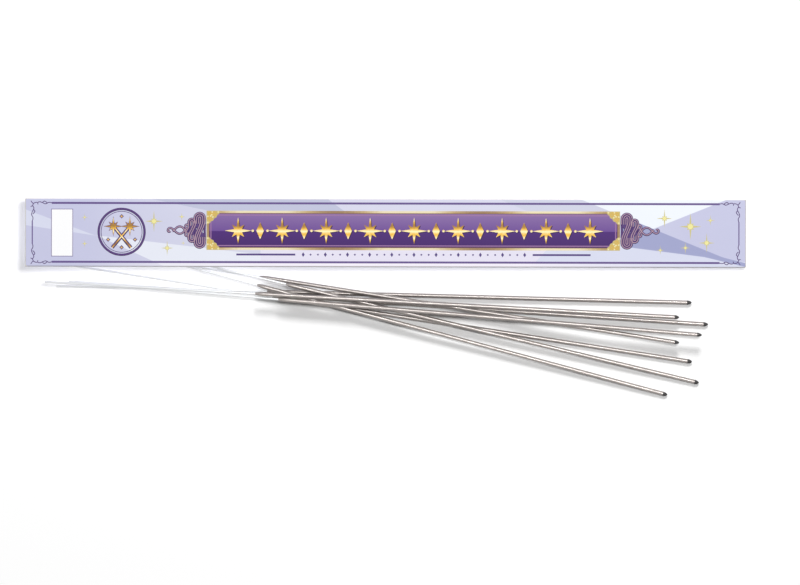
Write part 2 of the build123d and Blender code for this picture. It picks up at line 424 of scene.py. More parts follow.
def ray_field(finish, place, x, y, z):
    """The printed colour of the carton's outside."""
    drift = finish.noise(place, 0.012, 1.0)
    inner, outer = FIELD_FADE
    fade = finish.clamp((outer - abs(x)) / (outer - inner) + (drift - 0.5) * 0.6)
    colour = finish.mix(fade, LAVENDER, LAVENDER_PALE)
    on_front = z > -BOARD
    for tint, edges in RAYS:
        mask = on_front
        for start, end in edges:
            run = Vector(end) - Vector(start)
            left = Vector((-run.y, run.x)).normalized()
            reach = x * left.x + y * left.y - left.dot(Vector(start))
            mask = mask * finish.clamp(reach / RAY_EDGE + 0.5)
        colour = finish.mix(mask, colour, tint)
    # A pale strip along the foot fades out towards both ends
    inner, outer = FOOT_FADE
    foot = finish.clamp((FOOT_Y - y) / RAY_EDGE + 0.5) * finish.clamp((outer - abs(x)) / (outer - inner))
    return finish.mix(foot * on_front, colour, ROSE_SNOW)


print(len(RAYS), "rays on the field")

# %% [markdown]
# The sides and the back carry only a pair of purple rules. They are straight and long, so the shader can
# draw them: a rule is where the distance from its middle is less than half its width.

# %% Rules on the sides and the back
PURPLE_LINE = ink(98, 80, 134)
RULE_HALF = 266.8
RULE_Y = 23.5
RULE_WIDTH = 1.6
SIDE_RULE_INSET = 2.4
SIDE_RULE_WIDTH = 0.7


def is_ruled(finish, x, y, z):
    """Where the sides and the back are ruled."""
    from_middle = abs(z + DEPTH / 2)
    on_side = abs(y) > HALF_WIDTH - BOARD
    on_back = z < BOARD - DEPTH
    side = abs(from_middle - (DEPTH / 2 - SIDE_RULE_INSET)) < SIDE_RULE_WIDTH / 2
    back = abs(abs(y) - RULE_Y) < RULE_WIDTH / 2
    return (side * on_side + back * on_back) * (abs(x) < RULE_HALF)


# %% [markdown]
# The varnish is a little worn along the front creases, where the print rubs off first. The wear is the
# product of how close a place is to the crease and a noise that breaks it up.

# %% Printed board
CREASE_WEAR = 0.9
VARNISH_ROUGHNESS = 0.48
VARNISH_SHINE = 0.12
VARNISH_COAT = 0.05


def printed_board(name, is_outside):
    """Board that is printed where is_outside says so, and bare elsewhere."""
    finish = Finish(name)
    place, x, y, z = panel_place(finish)
    outside = is_outside(finish, x, y, z)
    rub = finish.noise(place, 0.35, 4.0, 0.7)
    near_side = finish.clamp((abs(y) - (HALF_WIDTH - CREASE_WEAR)) / CREASE_WEAR)
    near_front = finish.clamp((z + CREASE_WEAR) / CREASE_WEAR)
    wear = finish.clamp(near_side * near_front * 3.0 - 0.6) * finish.clamp(rub * 4.0 - 1.7)
    bare = fibres(finish, place)
    inked = finish.mix(is_ruled(finish, x, y, z), ray_field(finish, place, x, y, z), PURPLE_LINE)
    printed = finish.mix(wear * 0.6, inked, bare)
    relief = finish.noise(place, 2.2, 3.0, 0.6)
    cockle = finish.noise(place, 0.035, 1.0)
    finish.surface(
        {
            "Base Color": finish.mix(outside, bare, printed),
            "Roughness": 0.8 - outside * (0.8 - VARNISH_ROUGHNESS) + relief * 0.1 + wear * 0.25,
            "Specular IOR Level": VARNISH_SHINE,
            "Coat Weight": outside * VARNISH_COAT,
            "Coat Roughness": 0.3,
            "Normal": finish.bump(relief * 0.12 + cockle * 3.0, 0.00012),
        }
    )
    return finish.material


# %% Sleeve and flaps
SKIN = BOARD / 4
EDGE_ON = 0.7


def sleeve_outside(finish, x, y, z):
    off_side = HALF_WIDTH - abs(y)
    off_face = DEPTH / 2 - abs(z + DEPTH / 2)
    on_skin = finish.math("MINIMUM", off_side, off_face) < SKIN
    return on_skin * (abs(facing(finish, panel.col[0].xyz)) < EDGE_ON)


def flap_outside(finish, x, y, z):
    # The right flap faces right and the left flap faces left. The tongue faces the back panel.
    outward = facing(finish, panel.col[0].xyz) * finish.math("SIGN", x) > EDGE_ON
    downward = facing(finish, panel.col[2].xyz) < -EDGE_ON
    return finish.math("MAXIMUM", outward, downward)


def dress(node, material):
    slots = frame["nodes"][node].data.materials
    slots.clear()
    slots.append(material)


dress("carton_sleeve", printed_board("printed_sleeve", sleeve_outside))
flap_board = printed_board("printed_flap", flap_outside)
dust_board = bare_board()
for end in ("left", "right"):
    dress(f"{end}_tuck_flap", flap_board)
    for side in ("near", "far"):
        dress(f"{end}_{side}_dust_flap", dust_board)
print("sleeve, tuck flaps and dust flaps are dressed")

# %% [markdown]
# ## Ink and foil as thin plates
# Lines, stars and scrolls need crisp edges at any size, and a shader would blur them when it is baked.
# So each printed ornament is real geometry: a plate a few hundredths of a millimetre thick, laid on the
# front panel. A plate is one flat face, extruded. A scroll is a curve with a round section, pressed
# flat.

# %% Tools for plates and scrolls
PRINT_PLACE = panel @ Matrix.Scale(MM, 4)
SINK = 0.03
INK = 0.04
OVERPRINT = 0.08
TOP_PRINT = 0.12


def add_plate(shape, corners, top=INK):
    """A flat plate with the given outline, from just inside the board up to its top."""
    face = shape.faces.new([shape.verts.new((x, y, -SINK)) for x, y in corners])
    grown = bmesh.ops.extrude_face_region(shape, geom=[face])["geom"]
    raised = [item for item in grown if isinstance(item, bmesh.types.BMVert)]
    bmesh.ops.translate(shape, verts=raised, vec=(0, 0, SINK + top))


def add_bar(shape, low, high, top=INK):
    corners = ((low[0], low[1]), (high[0], low[1]), (high[0], high[1]), (low[0], high[1]))
    add_plate(shape, corners, top)


def add_star(shape, centre, radii, count, turn=0.0, top=INK, stretch=1.0):
    """A star of count points. The radii follow each other round it."""
    step = math.tau / (count * len(radii))
    corners = []
    for index in range(count * len(radii)):
        angle = math.pi / 2 + turn + index * step
        radius = radii[index % len(radii)]
        corners.append(
            (centre[0] + radius * math.cos(angle), centre[1] + radius * math.sin(angle) * stretch)
        )
    add_plate(shape, corners, top)


def add_scrolls(shape, paths, width, top=INK, closed=False):
    """Flat ribbons of one width along smooth paths."""
    curve = bpy.data.curves.new("scrolls", "CURVE")
    curve.dimensions = "3D"
    curve.bevel_depth = width / 2
    curve.bevel_resolution = 1
    curve.resolution_u = 4
    curve.use_fill_caps = True
    for path in paths:
        spline = curve.splines.new("NURBS")
        spline.points.add(len(path) - 1)
        for point, spot in zip(spline.points, path):
            point.co = (*spot, 0.0, 1.0)
        spline.use_cyclic_u = closed
        spline.order_u = 3
        spline.use_endpoint_u = not closed
    carrier = bpy.data.objects.new("scrolls", curve)
    bpy.context.scene.collection.objects.link(carrier)
    bpy.context.view_layer.update()
    drawn = bpy.data.meshes.new_from_object(carrier.evaluated_get(bpy.context.evaluated_depsgraph_get()))
    drawn.transform(Matrix.Diagonal((1, 1, top / (width / 2), 1)))
    shape.from_mesh(drawn)
    bpy.data.objects.remove(carrier)
    bpy.data.curves.remove(curve)
    bpy.data.meshes.remove(drawn)


def finished(name, shape, place, material, body):
    """The piece of a shape: put in its place, given its finish, and tied to the body that carries it."""
    bmesh.ops.recalc_face_normals(shape, faces=shape.faces)
    mesh = bpy.data.meshes.new(name)
    shape.to_mesh(mesh)
    shape.free()
    mesh.transform(place)
    mesh.materials.append(material)
    piece = bpy.data.objects.new(name, mesh)
    bpy.context.scene.collection.objects.link(piece)
    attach(piece, body)
    print(f"{name}: {len(mesh.polygons)} faces")
    return piece


def printed(name, shape, material):
    return finished(name, shape, PRINT_PLACE, material, "carton")


# %% [markdown]
# Ink lies in the same satin varnish as the board, and differs from it only in colour. Gold is a metallic
# ink: it runs from brown to pale yellow in soft bands, which is how printers draw the shine of metal.

# %% Inks
GOLD_BROWN = ink(158, 116, 58)
GOLD = ink(232, 184, 74)
GOLD_PALE = ink(252, 238, 186)
OLD_BROWN = ink(148, 120, 88)
OLD_GOLD = ink(188, 164, 118)
OLD_PALE = ink(222, 210, 174)
PURPLE_KNOT = ink(84, 60, 114)
ROSE = ink(226, 192, 186)
WHITE = ink(252, 252, 253)
DARK_PURPLE = ink(46, 26, 70)
GOLD_STOPS = (0.0, 0.35, 0.75, 1.0)


def varnished(finish, colour, place, metallic=0.0):
    grain = finish.noise(place, 2.2, 3.0, 0.6)
    finish.surface(
        {
            "Base Color": colour,
            "Metallic": metallic,
            "Roughness": VARNISH_ROUGHNESS + grain * 0.1,
            "Specular IOR Level": VARNISH_SHINE,
            "Coat Weight": VARNISH_COAT,
            "Coat Roughness": 0.3,
            "Normal": finish.bump(grain, 0.000015),
        }
    )
    return finish.material


def plain_ink(name, colour, thin):
    """One ink, a little uneven where it lies thin."""
    finish = Finish(name)
    place, *_ = panel_place(finish)
    patch = finish.clamp(finish.noise(place, 0.8, 3.0) * 2.0 - 0.6)
    return varnished(finish, finish.mix(patch * 0.35, colour, thin), place)


def gold_ink(name, bands_along, bands_across, start, tones):
    """Gold that shades through four tones, in bands along and across the carton."""
    finish = Finish(name)
    place, x, y, z = panel_place(finish)
    wave = finish.math("SINE", x * bands_along + y * bands_across + start) * 0.5 + 0.5
    grain = finish.noise(place, 0.6, 2.0)
    tone = finish.clamp(wave + (grain - 0.5) * 0.25)
    stops = list(zip(GOLD_STOPS, tones))
    colour = finish.node("ValToRGB", {"stops": stops}, {"Fac": tone})
    return varnished(finish, colour, place, metallic=0.1)


purple_line = plain_ink("purple_line_ink", PURPLE_LINE, ink(124, 106, 160))
purple_knot = plain_ink("purple_knot_ink", PURPLE_KNOT, ink(100, 74, 138))
rose_core = plain_ink("rose_ink", ROSE, ink(240, 216, 190))
white_panel = plain_ink("white_ink", WHITE, ink(244, 244, 247))
deep_shade = plain_ink("deep_purple_ink", DARK_PURPLE, ink(60, 38, 88))
gold_frame = gold_ink("gold_frame_ink", 0.054, 0.0, 0.59, (OLD_BROWN, OLD_GOLD, OLD_PALE, OLD_PALE))
gold_stars = gold_ink("gold_star_ink", 0.0, 0.42, 2.2, (GOLD_BROWN, GOLD, GOLD_PALE, GOLD))
print("the inks are mixed")

# %% [markdown]
# ## Border
# Two long rules run along the panel, a short one stands at each end, and a small scroll joins them at
# each corner. The four corners are one drawing, mirrored.

# %% Rules and corner scrolls
END_RULE_X = 282.3
END_RULE_HALF = 9.2
END_RULE_WIDTH = 0.9
SCROLL_WIDTH = 0.62

CORNER_SCROLLS = (
    (
        (266.6, 23.5), (269.0, 24.4), (271.5, 22.4), (274.0, 23.6),
        (276.4, 24.6), (278.6, 23.6), (277.6, 22.4),
    ),
    ((270.2, 23.2), (271.8, 25.0), (273.6, 24.8), (274.2, 23.4)),
    (
        (282.3, 9.0), (281.2, 11.5), (283.2, 14.0), (282.2, 16.8),
        (280.6, 19.4), (282.4, 21.6), (283.6, 20.4),
    ),
    ((282.0, 14.6), (280.4, 15.8), (280.2, 17.6), (281.4, 18.2)),
    ((278.4, 24.0), (280.6, 23.8), (281.8, 22.4), (282.2, 20.8)),
    ((281.4, 22.8), (282.6, 23.8), (283.4, 25.2)),
)

border = bmesh.new()
for sign in (1, -1):
    rule_y = sign * RULE_Y
    add_bar(border, (-RULE_HALF, rule_y - RULE_WIDTH / 2), (RULE_HALF, rule_y + RULE_WIDTH / 2))
    end_x = sign * END_RULE_X
    end_low = (end_x - END_RULE_WIDTH / 2, -END_RULE_HALF)
    end_high = (end_x + END_RULE_WIDTH / 2, END_RULE_HALF)
    add_bar(border, end_low, end_high)
printed("border_rules", border, purple_line)

corners = bmesh.new()
for flip_x in (1, -1):
    for flip_y in (1, -1):
        paths = [[(flip_x * x, flip_y * y) for x, y in path] for path in CORNER_SCROLLS]
        add_scrolls(corners, paths, SCROLL_WIDTH)
printed("corner_scrolls", corners, purple_knot)

# %% [markdown]
# ## Blank label and medallion
# At the left there is a plain white field with a thin frame. Beside it, a purple ring holds two crossed
# sparklers in gold, each with a burst at its end.

# %% Blank label
LABEL_LOW = (-267.2, -19.2)
LABEL_HIGH = (-249.8, 18.8)
LABEL_FRAME = 0.45

label = bmesh.new()
add_bar(label, LABEL_LOW, LABEL_HIGH, INK)
printed("label_frame", label, purple_line)
label = bmesh.new()
inner_low = (LABEL_LOW[0] + LABEL_FRAME, LABEL_LOW[1] + LABEL_FRAME)
inner_high = (LABEL_HIGH[0] - LABEL_FRAME, LABEL_HIGH[1] - LABEL_FRAME)
add_bar(label, inner_low, inner_high, OVERPRINT)
printed("blank_label", label, white_panel)

# %% Medallion
MEDALLION = Vector((-211.0, 0.5))
RING_RADIUS = 18.4
RING_WIDTH = 1.9
INNER_RING_RADIUS = 16.4
INNER_RING_WIDTH = 0.5
RING_POINTS = 32
STICK_WIDTH = 1.3
HEAD_RIGHT = 6.6
HEAD_UP = 4.4
FOOT_LEFT = 7.5
FOOT_DOWN = 12.6
SPARK = (1.1, 0.5)
OUTLINE = 0.75
BURST = (7.4, 2.0, 4.6, 2.0)
BURST_POINTS = 4
SPARK_RING = 12.4
SPARK_COUNT = 12


def circle_path(centre, radius, count):
    angles = [math.tau * index / count for index in range(count)]
    return [(centre[0] + radius * math.cos(a), centre[1] + radius * math.sin(a)) for a in angles]


def add_crossed_sparklers(shape, grow, low, high):
    """Two crossed sparklers with a burst each, grown by a margin on every side."""
    heads = [MEDALLION + Vector((HEAD_RIGHT * sign, HEAD_UP)) for sign in (1, -1)]
    for sign, head in zip((1, -1), heads):
        foot = MEDALLION - Vector((FOOT_LEFT * sign, FOOT_DOWN))
        add_scrolls(shape, [[foot, (foot + head) / 2, head]], STICK_WIDTH + 2 * grow, low)
        add_star(shape, head, [radius + grow for radius in BURST], BURST_POINTS, top=high)
    for spark in circle_path(MEDALLION, SPARK_RING, SPARK_COUNT):
        if min((Vector(spark) - head).length for head in heads) > BURST[0]:
            add_star(shape, spark, [radius + grow for radius in SPARK], 4, top=high)


ring = bmesh.new()
add_scrolls(ring, [circle_path(MEDALLION, RING_RADIUS, RING_POINTS)], RING_WIDTH, closed=True)
add_scrolls(ring, [circle_path(MEDALLION, INNER_RING_RADIUS, RING_POINTS)], INNER_RING_WIDTH, closed=True)
add_crossed_sparklers(ring, OUTLINE, INK, INK)
printed("medallion_ring", ring, purple_knot)

crossed = bmesh.new()
add_crossed_sparklers(crossed, 0.0, OVERPRINT, TOP_PRINT)
printed("medallion_sparklers", crossed, gold_stars)

# %% [markdown]
# ## Banner
# A deep purple banner fills the middle. Its field is lighter above and darker below a sharp line, like
# polished enamel. A double gold rule frames it, and a lobed gold plate with scrolls sits in each corner.

# %% Banner field
BANNER_LOW = Vector((-143.2, -13.8))
BANNER_HIGH = Vector((187.2, 17.5))
BANNER_MIDDLE = (BANNER_LOW + BANNER_HIGH) / 2
SPLIT_Y = 1.3
ENAMEL_TOP = ink(144, 116, 168)
ENAMEL_MIDDLE = ink(108, 76, 147)
ENAMEL_LOW = ink(74, 38, 114)
ENAMEL_FOOT = ink(62, 30, 95)


def enamel_ink():
    finish = Finish("enamel_purple_ink")
    place, x, y, z = panel_place(finish)
    rise = finish.clamp((y - SPLIT_Y) / (BANNER_HIGH.y - SPLIT_Y))
    fall = finish.clamp((SPLIT_Y - y) / (SPLIT_Y - BANNER_LOW.y))
    centre = 1.0 - finish.clamp(abs(x - BANNER_MIDDLE.x) / (BANNER_HIGH.x - BANNER_MIDDLE.x))
    upper_half = finish.mix(rise * (0.8 + centre * 0.2), ENAMEL_MIDDLE, ENAMEL_TOP)
    lower_half = finish.mix(fall, ENAMEL_LOW, ENAMEL_FOOT)
    above = finish.clamp((y - SPLIT_Y) / RAY_EDGE + 0.5)
    return varnished(finish, finish.mix(above, lower_half, upper_half), place)


field = bmesh.new()
add_bar(field, BANNER_LOW, BANNER_HIGH)
printed("banner_field", field, enamel_ink())

# %% Gold rules of the banner
GOLD_RULE = 1.75
BROWN_RULE = 0.55
MAUVE_RULE = 0.8
SIDE_RULE = 1.8
SIDE_GAP = 0.8


def add_frame(shape, inset, width, side_width, top):
    low = BANNER_LOW + Vector((inset, inset))
    high = BANNER_HIGH - Vector((inset, inset))
    add_bar(shape, low, (high.x, low.y + width), top)
    add_bar(shape, (low.x, high.y - width), high, top)
    add_bar(shape, (low.x, low.y + width), (low.x + side_width, high.y - width), top)
    add_bar(shape, (high.x - side_width, low.y + width), (high.x, high.y - width), top)


rules = bmesh.new()
add_frame(rules, 0.0, GOLD_RULE, SIDE_RULE, OVERPRINT)
printed("banner_gold_rule", rules, gold_frame)
rules = bmesh.new()
add_frame(rules, GOLD_RULE, BROWN_RULE, BROWN_RULE, OVERPRINT)
printed("banner_brown_rule", rules, plain_ink("brown_ink", ink(124, 88, 72), ink(150, 112, 92)))
rules = bmesh.new()
add_frame(rules, GOLD_RULE + BROWN_RULE + SIDE_GAP, MAUVE_RULE, MAUVE_RULE, OVERPRINT)
printed("banner_mauve_rule", rules, plain_ink("mauve_ink", ink(152, 112, 158), ink(172, 132, 168)))

# %% Gold corners of the banner
CORNER_REACH = 11.2
CORNER_BULGE = 1.3
LOBES = 4
LOBE_RISE = 0.7
LOBE_STEPS = 40
SPIRAL_TURNS = 1.4
SPIRAL_POINTS = 18
SPIRAL_SHRINK = 0.82
SPIRAL_WIDTH = 0.8
SPIRAL_TOP = TOP_PRINT + 0.06
BEAD_TOP = TOP_PRINT + 0.1


def lobed_corner():
    """A corner plate whose slanting edge bulges a little and has small lobes."""
    outline = [(0.0, 0.0)]
    for index in range(LOBE_STEPS + 1):
        share = index / LOBE_STEPS
        angle = share * math.pi / 2
        bulge = (math.cos(angle) ** CORNER_BULGE + math.sin(angle) ** CORNER_BULGE) ** (-1 / CORNER_BULGE)
        radius = CORNER_REACH * bulge - LOBE_RISE * (1 - abs(math.sin(math.pi * LOBES * share)))
        outline.append((radius * math.cos(angle), radius * math.sin(angle)))
    return outline


def spiral(centre, radius, start, hand):
    path = []
    for index in range(SPIRAL_POINTS):
        share = index / (SPIRAL_POINTS - 1)
        angle = start + hand * math.tau * SPIRAL_TURNS * share
        reach = radius * (1 - SPIRAL_SHRINK * share)
        path.append((centre[0] + reach * math.cos(angle), centre[1] + reach * math.sin(angle)))
    return path


CORNER_SPIRALS = (
    spiral((2.6, 6.6), 2.1, math.pi, 1),
    spiral((6.6, 2.6), 2.1, -math.pi / 2, -1),
    spiral((2.4, 2.4), 1.8, math.pi / 4, -1),
)
CORNER_BEADS = ((9.3, 1.0), (1.0, 9.3), (4.5, 1.0), (1.0, 4.5), (5.0, 5.0), (4.2, 3.2), (3.2, 4.2))
BEAD = (0.7,)
BEAD_SIDES = 10

plates = bmesh.new()
scrolls = bmesh.new()
beads = bmesh.new()
for flip_x, corner_x in ((1, BANNER_LOW.x), (-1, BANNER_HIGH.x)):
    for flip_y, corner_y in ((1, BANNER_LOW.y), (-1, BANNER_HIGH.y)):

        def into_corner(path):
            return [(corner_x + flip_x * x, corner_y + flip_y * y) for x, y in path]

        add_plate(plates, into_corner(lobed_corner()), TOP_PRINT)
        add_scrolls(scrolls, [into_corner(path) for path in CORNER_SPIRALS], SPIRAL_WIDTH, SPIRAL_TOP)
        for bead in into_corner(CORNER_BEADS):
            add_star(beads, bead, BEAD, BEAD_SIDES, top=BEAD_TOP)
soft_gold = plain_ink("soft_gold_ink", ink(200, 180, 108), ink(214, 200, 144))
orange_gold = plain_ink("orange_gold_ink", ink(222, 172, 62), ink(232, 188, 84))
pale_gold = plain_ink("pale_gold_ink", ink(232, 220, 164), ink(238, 228, 184))
printed("banner_corner_plates", plates, soft_gold)
printed("banner_corner_scrolls", scrolls, orange_gold)
printed("banner_corner_beads", beads, pale_gold)

# %% [markdown]
# ## A row of stars
# Gold stars and lozenges run along the banner. Each has a dark plate behind it, moved a little to the
# lower right, so that the gold seems to stand out.

# %% Stars and lozenges
STAR_ROW_LOW = -118.0
STAR_ROW_HIGH = 163.2
STAR_COUNT = 9
STAR_Y = 1.6
BIG_STAR = (10.8, 3.3, 7.0, 3.3)
LOZENGE = (6.8, 3.0)
DOT = (1.0,)
DOT_SIDES = 12
DOT_OFFSET = 5.9
SHADE_SHIFT = Vector((0.6, -0.6))


def add_star_row(shape, shift, top):
    pitch = (STAR_ROW_HIGH - STAR_ROW_LOW) / (STAR_COUNT - 1)
    for index in range(STAR_COUNT):
        centre = Vector((STAR_ROW_LOW + index * pitch, STAR_Y)) + shift
        add_star(shape, centre, BIG_STAR, 4, top=top)
        if index < STAR_COUNT - 1:
            between = centre + Vector((pitch / 2, 0))
            add_star(shape, between, LOZENGE, 2, top=top)
            for sign in (1, -1):
                add_star(shape, between + Vector((sign * DOT_OFFSET, 0)), DOT, DOT_SIDES, top=top)


row = bmesh.new()
add_star_row(row, SHADE_SHIFT, OVERPRINT)
printed("star_row_shade", row, deep_shade)
row = bmesh.new()
add_star_row(row, Vector((0, 0)), TOP_PRINT)
printed("star_row", row, gold_stars)

# %% [markdown]
# ## Knots
# A knot of pen strokes hangs on each end of the banner: three coils that shrink towards the point, then
# an eye and a curled tail. A stroke of a coil goes over the top, slants across and turns under the foot.
# The outer stroke at the top becomes the inner one at the foot, so the slants lie side by side. Dark
# strokes come first, then a narrower lighter body, then a thin rose line. What crosses under the slants
# is only drawn dark. The right knot is the left one, turned half round.

# %% Pen knots
# Each coil: its middle, its half height, and how far each of its strokes reaches to the sides
KNOT_COILS = ((5.5, 14.0, (4.2, 2.5, 0.8)), (11.7, 9.3, (2.8, 1.1)), (15.7, 4.7, (1.3,)))
KNOT_BEND = 0.55
KNOT_STEPS = 6
KNOT_PINCH = 0.1
KNOT_EYE = (
    (15.4, -2.4), (17.0, -0.4), (18.4, 1.8), (20.4, 3.1),
    (22.6, 3.0), (24.6, 1.5), (26.2, -0.3), (27.2, -1.0),
)
KNOT_TAIL = (
    (15.4, 2.4), (17.0, 0.4), (18.4, -1.6), (20.4, -2.8),
    (22.6, -2.8), (24.6, -1.3), (26.4, 0.6),
)
KNOT_CURL = ((26.4, 0.6), (28.3, 1.9), (30.2, 1.7), (31.2, -0.2), (30.0, -1.7), (28.8, -0.7))
KNOT_STROKE = 1.85
KNOT_BODY = 1.2
KNOT_CORE = 0.3


def round_end(reach, middle_y):
    """From one side of a coil over its round end to the other side."""
    angles = [math.pi * index / KNOT_STEPS for index in range(KNOT_STEPS + 1)]
    return [(reach * math.cos(angle), middle_y + reach * math.sin(angle)) for angle in angles]


def knot_strokes():
    """The strokes that lie on top, and the ones that cross under them."""
    upper = [KNOT_EYE, KNOT_TAIL + KNOT_CURL[1:]]
    under = []
    for middle, height, reaches in KNOT_COILS:
        middle_y = height - reaches[0]
        bend = middle_y * KNOT_BEND
        for reach, far in zip(reaches, reaches[::-1]):
            foot = [(-x, -y) for x, y in round_end(far, middle_y)][::-1]
            head = [(reach, bend), *round_end(reach, middle_y), (-reach, bend)]
            path = [*head, (far, -bend), *foot, (-far, -bend)]
            upper.append([(middle + x, y) for x, y in path])
            under.append([(middle - reach, -bend), (middle, 0.0), (middle + reach, bend)])
        for side in (middle - reaches[0], middle + reaches[0]):
            waist = side * (1 - KNOT_PINCH) + middle * KNOT_PINCH
            under.append([(side, -bend), (waist, 0.0), (side, bend)])
    return upper, under


def add_knot(shape, strokes, width, top, foot_x, flip):
    paths = [[(foot_x + flip * x, BANNER_MIDDLE.y - flip * y) for x, y in stroke] for stroke in strokes]
    add_scrolls(shape, paths, width, top)


upper, under = knot_strokes()
mauve_knot = plain_ink("mauve_knot_ink", ink(130, 104, 140), ink(144, 118, 154))
knot_layers = (
    ("knot", upper + under, KNOT_STROKE, INK, purple_knot),
    ("knot_body", upper, KNOT_BODY, OVERPRINT, mauve_knot),
    ("knot_core", upper, KNOT_CORE, TOP_PRINT, rose_core),
)
for name, foot_x, flip in (("left", BANNER_LOW.x, -1), ("right", BANNER_HIGH.x, 1)):
    for layer, strokes, width, top, material in knot_layers:
        drawn_knot = bmesh.new()
        add_knot(drawn_knot, strokes, width, top, foot_x, flip)
        printed(f"{name}_{layer}", drawn_knot, material)

# %% [markdown]
# ## Sparkles, rules and dots
# Four-pointed gold sparkles are scattered over the field, and a rule with a row of small lozenges runs
# under the banner.

# %% Sparkles
SPARKLES = (
    ((-240.5, 12.0), 2.6),
    ((-240.5, -9.0), 2.6),
    ((-185.2, 9.0), 7.2),
    ((-174.6, -12.4), 5.0),
    ((-163.0, 12.6), 2.8),
    ((-161.8, -8.4), 1.8),
    ((222.8, 12.0), 6.2),
    ((219.4, -13.4), 3.2),
    ((243.5, 5.5), 9.0),
    ((256.5, -7.5), 6.5),
    ((239.5, -11.5), 4.0),
    ((259.5, 10.5), 3.6),
)
WAIST = 0.14
SPARKLE_STRETCH = 1.2
CROSS = 0.42
CROSS_WAIST = 0.2
HEART = 0.24
HEART_SIDES = 8

sparkles = bmesh.new()
hearts = bmesh.new()
for spot, reach in SPARKLES:
    add_star(sparkles, spot, (reach, reach * WAIST), 4, stretch=SPARKLE_STRETCH)
    cross = (reach * CROSS, reach * CROSS_WAIST)
    add_star(sparkles, spot, cross, 4, turn=math.pi / 4, top=OVERPRINT)
    add_star(hearts, spot, (reach * HEART,), HEART_SIDES, top=TOP_PRINT)
printed("gold_sparkles", sparkles, plain_ink("sparkle_gold_ink", ink(202, 192, 128), ink(218, 208, 158)))
printed("sparkle_hearts", hearts, plain_ink("sparkle_heart_ink", ink(238, 230, 152), ink(242, 236, 180)))

# %% Rules and dots under the banner
CAPTION_Y = -17.4
CAPTION_RULE = 1.5
CAPTION_RULES = ((-119.4, -72.3), (117.4, 163.7))
CAPTION_LOW = -66.0
CAPTION_HIGH = 111.0
CAPTION_COUNT = 31
CAPTION_BIG = (1.9, 1.2)
CAPTION_SMALL = (0.9, 0.9)

caption = bmesh.new()
for low_x, high_x in CAPTION_RULES:
    add_bar(caption, (low_x, CAPTION_Y - CAPTION_RULE / 2), (high_x, CAPTION_Y + CAPTION_RULE / 2))
for index in range(CAPTION_COUNT):
    x = CAPTION_LOW + (CAPTION_HIGH - CAPTION_LOW) * index / (CAPTION_COUNT - 1)
    radii = CAPTION_BIG if index % 3 == 0 else CAPTION_SMALL
    add_star(caption, (x, CAPTION_Y), radii, 2)
printed("caption_rules", caption, plain_ink("caption_ink", ink(82, 66, 122), ink(98, 82, 138)))

# %% [markdown]
# ## Sparklers
# A sparkler is a drawn steel wire that was dipped in a thick grey mixture of metal powder and binder,
# then tipped with a dark starter. All three are turned shapes, so each is a half profile spun round the
# wire. The dip leaves soft lumps and an uneven edge at the handle, and noise moves the spun points to
# make them. Every point also remembers where it was on the sparkler, so that the finishes can follow
# the wire whichever way it lies.

# %% Where a sparkler lies
SPARKLERS = range(1, 9)


def sparkler_place(number):
    """The frame of one sparkler: X along it from the cut end of its handle."""
    handle = mounts[f"sparkler_{number}_handle"]
    ahead = -Vector(handle["axis"])
    side = Vector((0, 0, 1)).cross(ahead).normalized()
    start = Vector(handle["pos_m"]) - ahead * handle["dims"]["length_mm"] * MM / 2
    return frame_of(ahead, side, ahead.cross(side), start)


_, wire_high = span("sparkler_1_wire", sparkler_place(1))
_, coat_high = span("sparkler_1_coating", sparkler_place(1))
_, tip_high = span("sparkler_1_tip", sparkler_place(1))
WIRE_RADIUS = wire_high.z
COAT_RADIUS = coat_high.z
COAT_END = coat_high.x
TIP_END = tip_high.x


def coat_start(number):
    """Where the coat of one sparkler starts."""
    low, _ = span(f"sparkler_{number}_coating", sparkler_place(number))
    return low.x


print(f"wire {2 * WIRE_RADIUS:.1f} mm, coat {2 * COAT_RADIUS:.1f} mm")
print("coats start at", [round(coat_start(number)) for number in SPARKLERS], "mm")

# %% Spun shapes
ROUND_STEPS = 24
SAME_SPOT = 0.0001
CUT_ROUND = 0.3


def spun(profile):
    """A profile of (along, radius) points, spun once round the wire."""
    shape = bmesh.new()
    points = [shape.verts.new((along, 0.0, radius)) for along, radius in profile]
    edges = [shape.edges.new(pair) for pair in zip(points, points[1:])]
    bmesh.ops.spin(
        shape,
        geom=points + edges,
        cent=(0, 0, 0),
        axis=(1, 0, 0),
        angle=math.tau,
        steps=ROUND_STEPS,
        use_merge=True,
    )
    bmesh.ops.remove_doubles(shape, verts=shape.verts, dist=SAME_SPOT)
    return shape


def wire_profile():
    end = wire_high.x
    inner = WIRE_RADIUS - CUT_ROUND
    return (
        (0.0, 0.0),
        (0.0, inner),
        (CUT_ROUND * 0.3, inner + CUT_ROUND * 0.7),
        (CUT_ROUND, WIRE_RADIUS),
        (end - CUT_ROUND, WIRE_RADIUS),
        (end, inner),
        (end, 0.0),
    )


# %% Coat with lumps
DIP_LENGTH = 7.0
DIP_EDGE = 0.2
RING_STEP = 1.0
LUMP = 0.075
LUMP_SCALE = 0.45
GRIT = 0.03
GRIT_SCALE = 1.7
COAT_DRIFT = 37.0
EDGE_WANDER = 1.1
WANDER_SCALE = 1.3
EDGE_DRIFT = 5.0


def coat_profile(start):
    """Along the wire, up the dip edge, over the coat, and back to the start."""
    profile = [(start, WIRE_RADIUS)]
    rings = round((COAT_END - start) / RING_STEP)
    for index in range(rings + 1):
        along = start + (COAT_END - start) * index / rings
        rest = max(0.0, 1 - (along - start) / DIP_LENGTH)
        radius = COAT_RADIUS - (COAT_RADIUS - WIRE_RADIUS - DIP_EDGE) * rest**2
        profile.append((along, radius))
    profile.append((COAT_END, WIRE_RADIUS))
    return profile


